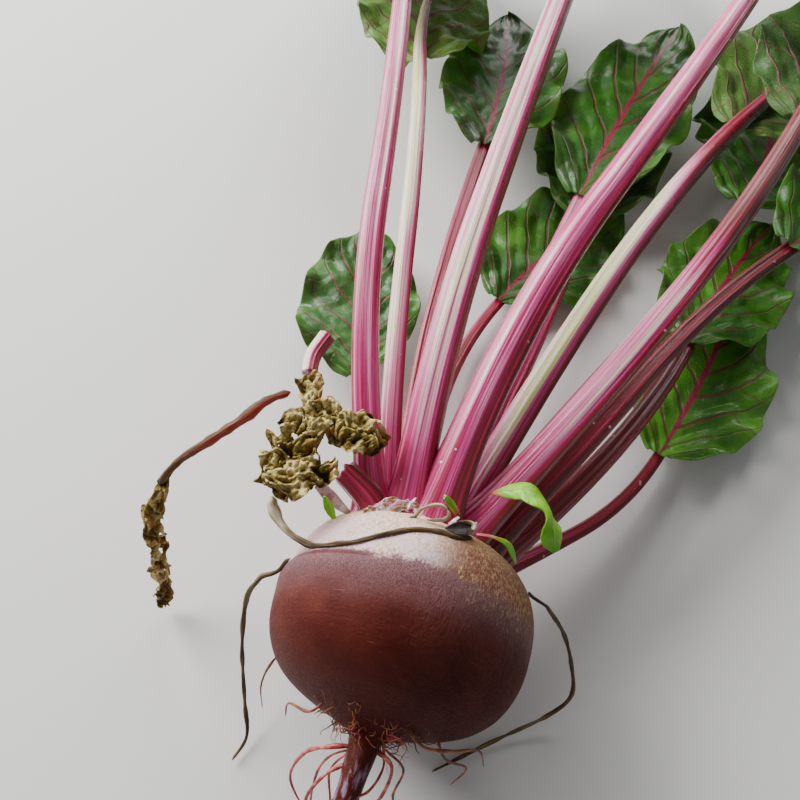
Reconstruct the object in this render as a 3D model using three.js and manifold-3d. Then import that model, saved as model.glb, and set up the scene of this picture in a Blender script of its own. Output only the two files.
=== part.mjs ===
// A beetroot with its tops on, lying on its side: the swollen root with its tail, the leaf
// stalks and blades, young leaves, withered leaves, dry strings and side roots.
// Millimetres, +Z up. The origin is the small flat spot that the root lies on, and +Y runs from
// the tail to the crown and on along the leaves. Headings are degrees from +Y towards +X in
// plan, and slopes are degrees above the level.
import * as THREE from "three";
import Module from "manifold-3d";
import { mergeVertices } from "three/addons/utils/BufferGeometryUtils.js";

const wasm = await Module();
wasm.setup();

// ---- Driving dimensions ----
const ROOT_RADIUS = 38; // widest part of the swollen root
const REST_DEPTH = 0.7; // how far the flat spot is worn into the round
const NOD = 5; // degrees that the crown end dips, from the weight of the leaves
const CROWN = 29; // from the widest part to the top of the crown, along the root's axis
const NECK = 34; // from the widest part to the start of the tail
const NECK_RADIUS = 4.4;
const TAIL_END_RADIUS = 0.8;
const TAIL_LENGTH = 92;
const GAP = 0.3; // between pieces that touch
const STALK_HEIGHT = 0.8; // of a stalk's width
const STALK_GROOVE = 0.25; // depth of the channel along a stalk, as a share of its half height
const RIB_END = 1.2; // width of a rib where it runs out
const RIB_REACH = 0.97; // share of a leaf's whole length that its stalk and rib take up
const BLADE_THICKNESS = 0.9;
const BLADE_RUFFLE = 2.2; // height of the waves along a blade's edges
const FLOOR_CLEARANCE = 0.9; // lowest middle surface of a blade that lies on the table
const RIB_FLOOR = 3; // lowest middle line of a rib
const FLOOR_SOFTNESS = 2.5; // how gently a line or blade settles on to the table

const ROOT_SEGMENTS = 28;
const STALK_SIDES = 8;
const STALK_STEPS = 15;
const BLADE_ACROSS = 6;
const BLADE_ALONG = 9;
const STRING_SIDES = 5;
const LINE_STEP = 2; // step in which a growing line is worked out

// ---- The leaves ----
// seat: where the stalk leaves the crown, mm to the right of its middle and above it.
// heading, slope: at the crown, half way up the stalk, at the blade's start and at its tip.
// stalk: length, width at the crown and width at the blade. blade: length and full breadth.
// roll: degrees that the blade leans, right edge up. cup: how far its edges rise, as a share of
// half its breadth. back: true where the blade shows its back, so its rib stands on top.
const LEAVES = [
  { seat: [-16, 11], heading: [-24, -10, -14, -24], slope: [24, 3, -8, -40],
    stalk: [206, 8.4, 6.2], blade: [118, 78], roll: -12, cup: -0.12, back: true },
  { seat: [-12, 2], heading: [-16, -11, -16, 2], slope: [14, 3, -14, -20],
    stalk: [190, 6.6, 5], blade: [92, 56], roll: -10, cup: -0.1, back: true },
  { seat: [-8, -6], heading: [-14, -4, 0, -14], slope: [6, 0, -8, -12],
    stalk: [160, 6.2, 5], blade: [86, 50], roll: 4, cup: 0.08, back: false },
  { seat: [-7, 12], heading: [-6, 2, 2, 4], slope: [24, 7, -6, -46],
    stalk: [212, 10.5, 7.4], blade: [126, 82], roll: -10, cup: -0.16, back: true },
  { seat: [1, 13], heading: [4, 19, 15, 18], slope: [22, 5, -6, -44],
    stalk: [232, 12, 7.2], blade: [122, 82], roll: -12, cup: -0.16, back: true },
  { seat: [5, 2], heading: [14, 17, 24, 30], slope: [13, 2, -14, -14],
    stalk: [200, 9, 6], blade: [98, 60], roll: -10, cup: -0.08, back: true },
  { seat: [7, -5], heading: [22, 25, 18, -14], slope: [3, -3, -12, -8],
    stalk: [182, 6.4, 4.6], blade: [88, 62], roll: -6, cup: 0.05, back: false },
  { seat: [9, 8], heading: [30, 23, 14, 38], slope: [17, 3, -8, -26],
    stalk: [200, 10, 6.6], blade: [104, 68], roll: -12, cup: -0.1, back: true },
  { seat: [15, 0], heading: [29, 24, 36, 58], slope: [9, -4, -8, -8],
    stalk: [164, 7.6, 5.2], blade: [88, 58], roll: -4, cup: 0, back: false },
  { seat: [17, -9], heading: [36, 26, 14, 24], slope: [3, -6, -14, 0],
    stalk: [118, 7.8, 5.6], blade: [72, 48], roll: 0, cup: 0.08, back: false },
  { seat: [0, -7], heading: [6, 5, 9, 14], slope: [0, -3, -3, -6],
    stalk: [152, 5.4, 4.2], blade: [108, 50], roll: 8, cup: 0.04, back: false },
  { seat: [-5, -14], heading: [-8, -4, 22, 44], slope: [-8, -12, -4, 0],
    stalk: [112, 5.4, 4], blade: [66, 48], roll: 0, cup: 0.06, back: false },
  { seat: [5, -15], heading: [4, 9, 2, -12], slope: [-2, -3, -3, -2],
    stalk: [150, 5, 3.8], blade: [72, 52], roll: 0, cup: 0.06, back: false },
  { seat: [-12, -10], heading: [-22, -30, -22, -8], slope: [-4, -12, -6, 0],
    stalk: [66, 5, 3.8], blade: [66, 44], roll: 0, cup: 0.08, back: false },
  { seat: [17, -17], heading: [48, 42, 18, 8], slope: [-10, -12, -4, 0],
    stalk: [84, 5, 3.8], blade: [74, 50], roll: 0, cup: 0.08, back: false },
];

// ---- Colours ----
const FINISH = {
  root_skin: [0x5a2026, 0.55],
  stalk: [0xb8305e, 0.4],
  blade: [0x3f7a26, 0.45],
  young_leaf: [0x86c832, 0.4],
  withered: [0xa08a4a, 0.85],
  dry_string: [0x7a6138, 0.8],
  side_root: [0x8c4030, 0.7],
};

const radians = THREE.MathUtils.degToRad;
const group = new THREE.Group();

function addPiece(name, finish, solid) {
  const [color, roughness] = FINISH[finish];
  const material = new THREE.MeshStandardMaterial({ color, roughness, metalness: 0 });
  const mesh = new THREE.Mesh(geometryOf(solid), material);
  mesh.name = name;
  group.add(mesh);
}

// ---- Solids from geometries, and back ----
function solidOf(geometry) {
  geometry.deleteAttribute("normal");
  geometry.deleteAttribute("uv");
  const merged = mergeVertices(geometry, 1e-4);
  return new wasm.Manifold(
    new wasm.Mesh({
      numProp: 3,
      vertProperties: new Float32Array(merged.attributes.position.array),
      triVerts: new Uint32Array(merged.index.array),
    }),
  );
}

function geometryOf(solid) {
  const mesh = solid.getMesh();
  const positions = new Float32Array(mesh.numVert * 3);
  for (let i = 0; i < mesh.numVert; i++) {
    const first = i * mesh.numProp;
    positions.set(mesh.vertProperties.subarray(first, first + 3), i * 3);
  }
  const geometry = new THREE.BufferGeometry();
  geometry.setAttribute("position", new THREE.BufferAttribute(positions, 3));
  geometry.setIndex(new THREE.BufferAttribute(mesh.triVerts, 1));
  geometry.computeVertexNormals();
  return geometry;
}

// Moves every vertex of a geometry to where place(x, y, z) says.
function reshape(geometry, place) {
  const positions = geometry.attributes.position;
  for (let i = 0; i < positions.count; i++) {
    const moved = place(positions.getX(i), positions.getY(i), positions.getZ(i));
    positions.setXYZ(i, moved.x, moved.y, moved.z);
  }
  return geometry;
}

// The largest single body of a solid, in case a cut has left a sliver beside it.
function mainBody(solid) {
  return solid.decompose().sort((a, b) => b.volume() - a.volume())[0];
}

// ---- Growing lines ----
// Height above the table, eased so that nothing sinks below the floor given.
function settle(z, floor) {
  const above = (z - floor) / FLOOR_SOFTNESS;
  return floor + FLOOR_SOFTNESS * (above > 20 ? above : Math.log1p(Math.exp(above)));
}

function valueAt(stations, values, s) {
  let i = 1;
  while (i < stations.length - 1 && s > stations[i]) i++;
  const share = (s - stations[i - 1]) / (stations[i] - stations[i - 1]);
  return THREE.MathUtils.lerp(values[i - 1], values[i], THREE.MathUtils.clamp(share, 0, 1));
}

// A line of evenly spaced points, which pieces are laid along.
class Line {
  constructor(points, step) {
    this.points = points;
    this.step = step;
    this.length = step * (points.length - 1);
  }

  point(s) {
    const place = THREE.MathUtils.clamp(s / this.step, 0, this.points.length - 1.0001);
    const i = Math.floor(place);
    return this.points[i].clone().lerp(this.points[i + 1], place - i);
  }

  // Where the line is at s, with the directions along it, to its right and up from it.
  frame(s, roll = 0) {
    const reach = 1.5 * this.step;
    const along = this.point(s + reach).sub(this.point(s - reach)).normalize();
    const up = new THREE.Vector3(0, 0, 1).addScaledVector(along, -along.z).normalize();
    const right = new THREE.Vector3().crossVectors(along, up);
    up.applyAxisAngle(along, -radians(roll));
    right.applyAxisAngle(along, -radians(roll));
    return { at: this.point(s), along, right, up };
  }
}

// A line that turns as it grows. Its headings and slopes are given at stations along it, and
// it settles on the table once it comes down that far.
function grownLine(start, stations, headings, slopes, floor) {
  const length = stations[stations.length - 1];
  const steps = Math.ceil(length / LINE_STEP);
  const step = length / steps;
  const points = [start.clone()];
  const raw = start.clone();
  for (let i = 0; i < steps; i++) {
    const s = (i + 0.5) * step;
    const heading = radians(valueAt(stations, headings, s));
    const slope = radians(valueAt(stations, slopes, s));
    raw.x += step * Math.sin(heading) * Math.cos(slope);
    raw.y += step * Math.cos(heading) * Math.cos(slope);
    raw.z += step * Math.sin(slope);
    points.push(new THREE.Vector3(raw.x, raw.y, settle(raw.z, floor)));
  }
  return new Line(points, step);
}

// A smooth line through points chosen by hand.
function placedLine(places) {
  const curve = new THREE.CatmullRomCurve3(places.map((place) => new THREE.Vector3(...place)));
  const steps = Math.ceil(curve.getLength() / LINE_STEP) * 2;
  return new Line(curve.getSpacedPoints(steps), curve.getLength() / steps);
}

// A closed tube along a line: width(t) and height(t) are its size at a share t of its length,
// and groove is how deep the channel along its upper side is, as a share of its half height. A
// groove below 0 runs along its under side.
function tubeOn(line, length, sides, steps, width, height, groove = 0, grow = 0) {
  const tube = new THREE.CylinderGeometry(1, 1, 1, sides, steps);
  return solidOf(
    reshape(tube, (x, y, z) => {
      const t = y + 0.5;
      const { at, along, right, up } = line.frame(t * length);
      const channel = z * Math.sign(groove) > 0.9 ? 1 - Math.abs(groove) : 1;
      at.addScaledVector(right, x * (width(t) / 2 + grow));
      at.addScaledVector(up, z * channel * (height(t) / 2 + grow));
      return at.addScaledVector(along, 2 * grow * (t - 0.5));
    }),
  );
}

// ---- The root ----
const rootCentre = new THREE.Vector3(0, 0, ROOT_RADIUS - REST_DEPTH);
const rootAxis = new THREE.Vector3(0, Math.cos(radians(NOD)), -Math.sin(radians(NOD)));
const discUp = new THREE.Vector3(0, Math.sin(radians(NOD)), Math.cos(radians(NOD)));

function crownPoint([across, up], depth = 0) {
  return rootCentre
    .clone()
    .addScaledVector(rootAxis, CROWN - depth)
    .addScaledVector(discUp, up)
    .add(new THREE.Vector3(across, 0, 0));
}

// Half of the root's outline as (radius, distance along the axis) from the neck to the crown:
// flat round the neck, full at the shoulder, and a crown about half as wide as the root.
function rootOutline(grow) {
  const shape = new THREE.Path();
  shape.moveTo(0, -NECK - grow);
  shape.lineTo(NECK_RADIUS + grow, -NECK - grow);
  shape.bezierCurveTo(9 + grow, -27, ROOT_RADIUS - 1 + grow, -30, ROOT_RADIUS + grow, -3);
  shape.bezierCurveTo(ROOT_RADIUS + 1 + grow, 15, 31 + grow, 24 + grow, 20 + grow, 26 + grow);
  shape.lineTo(0, CROWN + grow);
  return shape.getPoints(9);
}

function rootSolid(grow = 0) {
  const swelling = new THREE.LatheGeometry(rootOutline(grow), ROOT_SEGMENTS);
  swelling.rotateX(-radians(NOD));
  swelling.translate(rootCentre.x, rootCentre.y, rootCentre.z);
  const tailStart = rootCentre.clone().addScaledVector(rootAxis, -NECK + 3);
  const stations = [0, TAIL_LENGTH * 0.3, TAIL_LENGTH * 0.65, TAIL_LENGTH];
  const tailLine = grownLine(tailStart, stations, [180, 184, 194, 172], [2, -10, -26, -34], 1);
  const width = (t) => 2 * (NECK_RADIUS * (1 - t) ** 2 + TAIL_END_RADIUS);
  const tail = tubeOn(tailLine, TAIL_LENGTH, 8, 10, width, width, 0, grow);
  return solidOf(swelling).add(tail);
}

function floorBlock() {
  const block = new THREE.BoxGeometry(600, 900, 100);
  block.translate(0, 0, -50);
  return solidOf(block);
}

const rootClearance = rootSolid(GAP);
addPiece("root", "root_skin", rootSolid().subtract(floorBlock()));

// ---- Stalks and blades ----
function leafLine(leaf) {
  const [stalkLength] = leaf.stalk;
  const stations = [0, stalkLength / 2, stalkLength, stalkLength + leaf.blade[0]];
  return grownLine(crownPoint(leaf.seat, 4), stations, leaf.heading, leaf.slope, RIB_FLOOR);
}

// Width of the stalk at s: a broad foot on the crown, an even taper to the blade, and then the
// rib, which runs out to a point.
function stalkWidth(leaf, s) {
  const [length, atCrown, atBlade] = leaf.stalk;
  if (s > length) return THREE.MathUtils.lerp(atBlade, RIB_END, (s - length) / leaf.blade[0]);
  const foot = 0.22 * atCrown * Math.exp(-s / 12);
  return THREE.MathUtils.lerp(atCrown, atBlade, s / length) + foot;
}

function stalkSolid(leaf, grow = 0) {
  const line = leafLine(leaf);
  const length = line.length * RIB_REACH;
  const width = (t) => stalkWidth(leaf, t * length);
  const height = (t) => STALK_HEIGHT * width(t);
  const groove = leaf.back ? -STALK_GROOVE : STALK_GROOVE;
  return tubeOn(line, length, STALK_SIDES, STALK_STEPS, width, height, groove, grow);
}

// Half breadth of a blade at a share u of its length: narrow wings at the stalk, widest a little
// below the middle, and a blunt tip.
function bladeHalfBreadth(leaf, u) {
  const swell = Math.sin(Math.PI * Math.min(1, 0.03 + 0.94 * u ** 0.85)) ** 0.8;
  return 1.5 + (leaf.blade[1] / 2 - 1.5) * swell;
}

function bladeSolid(leaf) {
  const line = leafLine(leaf);
  const [stalkLength] = leaf.stalk;
  const [bladeLength] = leaf.blade;
  const side = leaf.back ? -1 : 1;
  const sheet = new THREE.BoxGeometry(2, 1, 1, BLADE_ACROSS, BLADE_ALONG, 1);
  return solidOf(
    reshape(sheet, (across, y, z) => {
      const u = y + 0.5;
      const s = stalkLength + u * bladeLength;
      const { at, right, up } = line.frame(s, leaf.roll * Math.min(1, 3 * u));
      const half = bladeHalfBreadth(leaf, u);
      const rise = (STALK_HEIGHT / 2) * stalkWidth(leaf, s) + GAP + BLADE_THICKNESS / 2;
      const ruffle = BLADE_RUFFLE * across ** 2 * Math.sin(Math.PI * 4 * u + across);
      at.addScaledVector(right, across * half);
      at.addScaledVector(up, side * rise + leaf.cup * half * across ** 2 + ruffle);
      at.z = settle(at.z, FLOOR_CLEARANCE);
      return at.addScaledVector(up, z * BLADE_THICKNESS);
    }),
  );
}

// Each stalk is pressed against the ones before it, so it is cut back to clear them.
let taken = rootClearance;
LEAVES.forEach((leaf, i) => {
  const name = `leaf_${String(i + 1).padStart(2, "0")}`;
  addPiece(`${name}_stalk`, "stalk", mainBody(stalkSolid(leaf).subtract(taken)));
  addPiece(`${name}_blade`, "blade", bladeSolid(leaf));
  taken = taken.add(stalkSolid(leaf, GAP));
});

// ---- Small pieces on the crown and round the root ----
// A tube along points chosen by hand, tapering from one width to another, cut back to clear the
// root and the stalks.
function addString(name, finish, places, fromWidth, toWidth) {
  const line = placedLine(places);
  const width = (t) => THREE.MathUtils.lerp(fromWidth, toWidth, t);
  const steps = Math.ceil(line.length / (2.5 * Math.max(fromWidth, 1.6)));
  const tube = tubeOn(line, line.length, STRING_SIDES, steps, width, width);
  addPiece(name, finish, mainBody(tube.subtract(taken)));
}

// A small leaf or shred along points chosen by hand, broadest in the middle, with its surface
// crumpled by the height given.
function addShoot(name, finish, places, breadth, thickness, crumple = 0, roll = 0) {
  const line = placedLine(places);
  const steps = Math.max(5, Math.ceil(line.length / 6));
  const sheet = new THREE.BoxGeometry(2, 1, 1, crumple > 0 ? 6 : 2, steps, 1);
  reshape(sheet, (across, y, z) => {
    const u = y + 0.5;
    const { at, right, up } = line.frame(u * line.length, roll);
    const ragged = 1 + 0.12 * crumple * Math.sin(9 * u + 4 * across);
    const half = (breadth / 2) * (0.2 + 0.8 * Math.sin(Math.PI * u)) * ragged;
    const fold = crumple * Math.sin(5 * across + 7 * u) * Math.cos(8 * u - 3 * across);
    at.addScaledVector(right, across * half);
    return at.addScaledVector(up, z * thickness + fold - 0.15 * half * across ** 2);
  });
  addPiece(name, finish, mainBody(solidOf(sheet).subtract(taken)));
}

function brokenStub() {
  const line = placedLine([[-13, 24, 51], [-17, 28, 54], [-22, 31, 56], [-28, 34, 57]]);
  const width = (t) => 9.5 - 2 * t;
  return tubeOn(line, line.length, STALK_SIDES, 4, width, width);
}

addPiece("outer_stub", "stalk", mainBody(brokenStub().subtract(taken)));
taken = taken.add(brokenStub());

addString("withered_stalk", "dry_string", [
  [14, 23.5, 64.5], [9.4, 20.8, 69.4], [5.3, 20.8, 70.2], [-0.9, 19.3, 71.7], [-6.7, 16.8, 72.6],
  [-12.3, 13.8, 72.4], [-18.1, 11.2, 70.8], [-25, 9.6, 66.6], [-32, 9.6, 60.5], [-38, 12, 59.5],
  [-42, 15.5, 60.5], [-44, 19, 62],
], 1.6, 2.6);
addShoot("withered_leaf", "withered", [
  [-38, 19, 62], [-36, 28, 64], [-37, 38, 65], [-42, 48, 64], [-46, 57, 61],
], 34, 1.1, 1.4);
addString("snapped_stalk_end", "stalk", [[-47, 59, 60], [-48, 66, 59], [-46, 74, 59]], 5, 6);
addString("dead_stalk", "dry_string", [
  [-53, 50, 61], [-56, 46.5, 61], [-61, 40, 59], [-69, 32, 55], [-77, 25, 50], [-82, 18, 44],
], 3, 3);
addShoot("dead_shred", "withered", [
  [-82, 16, 42], [-83, 9, 35], [-81, 3, 26], [-79, -4, 14], [-77, -10, 4],
], 8, 1, 0.8, 30);
addShoot("young_leaf_large", "young_leaf", [
  [15, 40, 56], [19, 41, 59], [24, 42, 61.5], [29, 40, 62], [33, 36, 61], [35, 32, 58],
  [37, 29, 54],
], 9, 0.8, 0, 20);
addShoot("young_leaf_small", "young_leaf", [
  [14, 26, 59], [17, 26, 60.5], [20, 26, 60.5], [23, 26, 58.5], [25, 25, 56], [27, 23, 52],
], 2.6, 0.8);
addShoot("bud_leaf", "young_leaf", [[8, 30, 58], [5, 32, 61], [3, 32, 65]], 3, 0.8);
addShoot("green_bud", "young_leaf", [[-25, 18, 61], [-27, 20, 63], [-29, 22, 66]], 3, 0.8);
addShoot("bud_scale", "young_leaf", [[-22, 22, 57], [-27, 24, 58], [-33, 27, 60]], 4.5, 1);
addString("left_dry_string", "dry_string", [
  [-37, 6, 53], [-43, -1, 44], [-46, -6, 36], [-45, -17, 24], [-41, -31, 10], [-38, -40, 3],
  [-40, -48, 2],
], 1.8, 1.4);
addString("right_dry_string", "dry_string", [
  [35, 18, 47], [41, 16, 38], [47, 13, 29], [52, 7, 20], [55, 0, 11], [50, -7, 5],
  [37, -18, 2], [20, -33, 1.5],
], 1.8, 1.4);
addString("crown_curl", "dry_string", [
  [-5, 23, 67.6], [-2, 25.5, 68.5], [0.5, 27.2, 69], [3, 28, 68.8], [5, 27.4, 68],
], 1.4, 1);

// Side roots: the points of each, and its width where it leaves the main root.
const SIDE_ROOTS = [
  [[[-3, -36, 41], [-9, -38, 40], [-16, -41, 31], [-19, -48, 19], [-12, -56, 9]], 1.7],
  [[[-2, -40, 41], [-8, -45, 37], [-12, -53, 25], [-5, -60, 13], [-8, -68, 5]], 1.5],
  [[[3, -35, 41], [9, -38, 40], [8, -46, 31], [3, -52, 23], [7, -58, 12]], 1.5],
  [[[9, -27, 47], [16, -31, 45], [24, -29, 38], [31, -26, 30], [34, -29, 21]], 1.4],
  [[[17, -24, 41], [22, -31, 34], [29, -31, 24], [26, -36, 13]], 1.3],
  [[[-31, -12, 24], [-36, -19, 17], [-38, -25, 9], [-36, -31, 4]], 1.2],
  [[[0, -50, 39], [6, -60, 30], [4, -70, 18], [10, -79, 8]], 1.4],
  [[[-12, -26, 46], [-17, -31, 42], [-24, -30, 36], [-25, -33, 27]], 1.3],
];
SIDE_ROOTS.forEach(([places, width], i) => {
  addString(`side_root_${i + 1}`, "side_root", places, width, 0.9);
});

export default group;
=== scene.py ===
# A beetroot with its tops on, lying on its side: a matt maroon root with a corky crown, a tail
# and side roots, and a bunch of ribbed pink stalks with crinkled green leaves.
# Lengths are millimetres here and become metres when a mesh is made. Headings are degrees from +Y
# towards +X in plan, and slopes are degrees above the level.
import random
from collections import namedtuple
from math import ceil, copysign, cos, exp, log1p, pi, radians, sin, sqrt, tau

import bmesh
import bpy
from mathutils import Matrix, Vector, noise
from mathutils.geometry import interpolate_bezier


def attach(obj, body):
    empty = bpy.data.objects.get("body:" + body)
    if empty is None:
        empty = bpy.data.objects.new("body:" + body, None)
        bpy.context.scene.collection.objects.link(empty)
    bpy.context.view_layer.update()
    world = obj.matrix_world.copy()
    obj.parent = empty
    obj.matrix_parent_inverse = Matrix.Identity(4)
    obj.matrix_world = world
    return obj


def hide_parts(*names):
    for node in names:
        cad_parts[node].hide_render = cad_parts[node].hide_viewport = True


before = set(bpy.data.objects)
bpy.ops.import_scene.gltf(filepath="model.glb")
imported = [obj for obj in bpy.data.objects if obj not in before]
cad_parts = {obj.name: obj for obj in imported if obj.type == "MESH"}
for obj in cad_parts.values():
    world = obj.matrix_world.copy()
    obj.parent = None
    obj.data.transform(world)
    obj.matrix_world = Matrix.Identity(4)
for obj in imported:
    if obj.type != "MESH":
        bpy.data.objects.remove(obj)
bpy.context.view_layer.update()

MM = 0.001

# ---- Driving dimensions, as in the frame ----
ROOT_RADIUS = 38
REST_DEPTH = 0.7  # how much the flat spot takes off the radius under the root
NOD = radians(5)  # how far the root's axis dips towards the crown
CROWN = 29  # from the root's centre to the middle of the crown
NECK = 34  # from the root's centre to the top of the tail
NECK_RADIUS = 4.4
TAIL_LENGTH = 92
TAIL_END_RADIUS = 0.8
GAP = 0.3
EDGE = 5.5  # from the root's centre to the edge of its dry cap
EDGE_SLANT = 0.02  # how much further that edge is for each step to the right
STALK_HEIGHT = 0.8  # height of a stalk for a width of 1
RIB_END = 1.2  # width of a blade's rib at its tip
RIB_REACH = 0.97  # share of a leaf's line that its stalk and its rib take up
RIB_FLOOR = 3  # lowest height for the middle of a rib
BLADE_FLOOR = 0.9  # lowest height for the middle of a blade's thickness
FLOOR_SOFTNESS = 2.5
LINE_STEP = 2

# That red is partly the stalk's own and partly painted light: paler on the lit left, deeper on the shaded
# right.
# seat: where the stalk leaves the crown, to the right of its middle and above it.
# heading, slope: at the crown, half way up the stalk, at the blade's start and at its tip.
# stalk: length, width at the crown and width at the blade. blade: length and full breadth.
# flush and light: how deep the red of the stalk is on its left and on its right, from cream to crimson.
# roll: degrees that the blade leans. cup: how far its edges rise. back: its back is uppermost.
# dark_top: how much deeper the red gets towards the blade, and from how far up the stalk.
Leaf = namedtuple("Leaf", "seat heading slope stalk blade flush roll cup back dark_top",
                  defaults=(0, 0.08, False, (0.1, 0.55)))
LEAVES = [
    Leaf((-16, 11), (-24, -10, -14, -24), (24, 3, -8, -40), (206, 8.4, 6.2), (118, 78), (0.36, 0.52),
         roll=-12, cup=-0.12, back=True, dark_top=(0, 0.55)),
    Leaf((-12, 2), (-16, -11, -16, 2), (14, 3, -14, -20), (190, 6.6, 5), (92, 56), (0.1, 0.66),
         roll=-10, cup=-0.1, back=True, dark_top=(0, 0.55)),
    Leaf((-8, -6), (-14, -4, 0, -14), (6, 0, -8, -12), (160, 6.2, 5), (86, 50), (0.56, 0.78),
         roll=4, dark_top=(0.2, 0.55)),
    Leaf((-7, 12), (-6, 2, 2, 4), (24, 7, -6, -46), (212, 10.5, 7.4), (126, 82), (0.22, 0.76),
         roll=-10, cup=-0.16, back=True, dark_top=(0, 0.55)),
    Leaf((1, 13), (4, 19, 15, 18), (22, 5, -6, -44), (232, 12, 7.2), (122, 82), (0.36, 0.8),
         roll=-12, cup=-0.16, back=True, dark_top=(0.04, 0.55)),
    Leaf((5, 2), (14, 17, 24, 30), (13, 2, -14, -14), (200, 9, 6), (98, 60), (0.06, 0.74),
         roll=-10, cup=-0.08, back=True, dark_top=(0.5, 0.48)),
    Leaf((7, -5), (22, 25, 18, -14), (3, -3, -12, -8), (182, 6.4, 4.6), (88, 62), (0.6, 0.8),
         roll=-6, cup=0.05),
    Leaf((9, 8), (30, 23, 14, 38), (17, 3, -8, -26), (200, 10, 6.6), (104, 68), (0.26, 0.8),
         roll=-12, cup=-0.1, back=True, dark_top=(0.5, 0.33)),
    Leaf((15, 0), (29, 24, 36, 58), (9, -4, -8, -8), (164, 7.6, 5.2), (88, 58), (0.66, 0.84),
         roll=-4, cup=0),
    Leaf((17, -9), (36, 26, 14, 24), (3, -6, -14, 0), (118, 7.8, 5.6), (72, 48), (0.74, 0.82)),
    Leaf((0, -7), (6, 5, 9, 14), (0, -3, -3, -6), (152, 5.4, 4.2), (108, 50), (0.26, 0.5),
         roll=8, cup=0.04, dark_top=(0, 0.55)),
    Leaf((-5, -14), (-8, -4, 22, 44), (-8, -12, -4, 0), (112, 5.4, 4), (66, 48), (0.6, 0.74), cup=0.06),
    Leaf((5, -15), (4, 9, 2, -12), (-2, -3, -3, -2), (150, 5, 3.8), (72, 52), (0.5, 0.72), cup=0.06),
    Leaf((-12, -10), (-22, -30, -22, -8), (-4, -12, -6, 0), (66, 5, 3.8), (66, 44), (0.5, 0.7)),
    Leaf((17, -17), (48, 42, 18, 8), (-10, -12, -4, 0), (84, 5, 3.8), (74, 50), (0.62, 0.76)),
]


# ---- Lines that the pieces grow along ----
def settle(z, floor):
    """Height above the table, eased so that nothing sinks below the floor given."""
    above = (z - floor) / FLOOR_SOFTNESS
    return floor + FLOOR_SOFTNESS * (above if above > 20 else log1p(exp(above)))


def smooth(low, high, value):
    """0 at low and 1 at high, with an even ease between them."""
    share = min(1, max(0, (value - low) / (high - low)))
    return share * share * (3 - 2 * share)


def between(a, b, share):
    return a + (b - a) * share


def value_at(stations, values, s):
    """The value at s, between values given at uneven stations."""
    i = 1
    while i < len(stations) - 1 and s > stations[i]:
        i += 1
    share = (s - stations[i - 1]) / (stations[i] - stations[i - 1])
    return between(values[i - 1], values[i], min(1, max(0, share)))


def evenly(values, share):
    """The value at a share of the way through values given at even stations."""
    return value_at([i / (len(values) - 1) for i in range(len(values))], values, share)


class Line:
    """A line of evenly spaced points, which pieces are laid along."""

    def __init__(self, points, step):
        self.points = points
        self.step = step
        self.length = step * (len(points) - 1)

    def point(self, s):
        place = min(max(s / self.step, 0), len(self.points) - 1.0001)
        i = int(place)
        return self.points[i].lerp(self.points[i + 1], place - i)

    def frame(self, s, roll=0):
        """Where the line is at s, with the directions to its right and up from it."""
        reach = 1.5 * self.step
        along = (self.point(s + reach) - self.point(s - reach)).normalized()
        up = (Vector((0, 0, 1)) - along * along.z).normalized()
        turn = Matrix.Rotation(-radians(roll), 3, along)
        return self.point(s), turn @ along.cross(up), turn @ up


def grown_line(start, stations, headings, slopes, floor):
    """A line that turns as it grows, and settles on the table once it comes down that far."""
    steps = ceil(stations[-1] / LINE_STEP)
    step = stations[-1] / steps
    raw = start.copy()
    points = [start.copy()]
    for i in range(steps):
        s = (i + 0.5) * step
        heading = radians(value_at(stations, headings, s))
        slope = radians(value_at(stations, slopes, s))
        level = step * cos(slope)
        raw += Vector((level * sin(heading), level * cos(heading), step * sin(slope)))
        points.append(Vector((raw.x, raw.y, settle(raw.z, floor))))
    return Line(points, step)


def placed_line(places):
    """A smooth line through listed points."""
    knots = [Vector(place) for place in places]
    knots = [2 * knots[0] - knots[1]] + knots + [2 * knots[-1] - knots[-2]]
    fine = [knots[1]]
    for i in range(1, len(knots) - 2):
        before, here, there, after = knots[i - 1:i + 3]
        handles = here, here + (there - before) / 6, there - (after - here) / 6, there
        fine += interpolate_bezier(*handles, 17)[1:]
    lengths = [0]
    for a, b in zip(fine, fine[1:]):
        lengths.append(lengths[-1] + (b - a).length)
    steps = max(4, ceil(lengths[-1]))
    points, i = [], 0
    for k in range(steps + 1):
        s = lengths[-1] * k / steps
        while i < len(fine) - 2 and lengths[i + 1] < s:
            i += 1
        points.append(fine[i].lerp(fine[i + 1], (s - lengths[i]) / (lengths[i + 1] - lengths[i])))
    return Line(points, lengths[-1] / steps)


# ---- Making pieces ----
def put_in_scene(name, data):
    thing = bpy.data.objects.new(name, data)
    bpy.context.scene.collection.objects.link(thing)
    return thing


def finished(bm, name, finishes, node, levels=0, thickness=0):
    """Turns a bmesh into a piece that rides on the root, with its finish. A sheet is
    given its thickness, and its back takes the last of the finishes."""
    mesh = bpy.data.meshes.new(name)
    bm.to_mesh(mesh)
    bm.free()
    for finish in finishes:
        mesh.materials.append(finish)
    for face in mesh.polygons:
        face.use_smooth = True
    piece = put_in_scene(name, mesh)
    if thickness:
        wall = piece.modifiers.new("wall", "SOLIDIFY")
        wall.thickness = thickness * MM
        wall.offset = 0
        wall.material_offset = len(finishes) - 1
    if levels:
        rounding = piece.modifiers.new("rounding", "SUBSURF")
        rounding.levels = levels
        rounding.render_levels = levels
    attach(piece, "root")
    if node:
        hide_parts(node)


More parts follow.
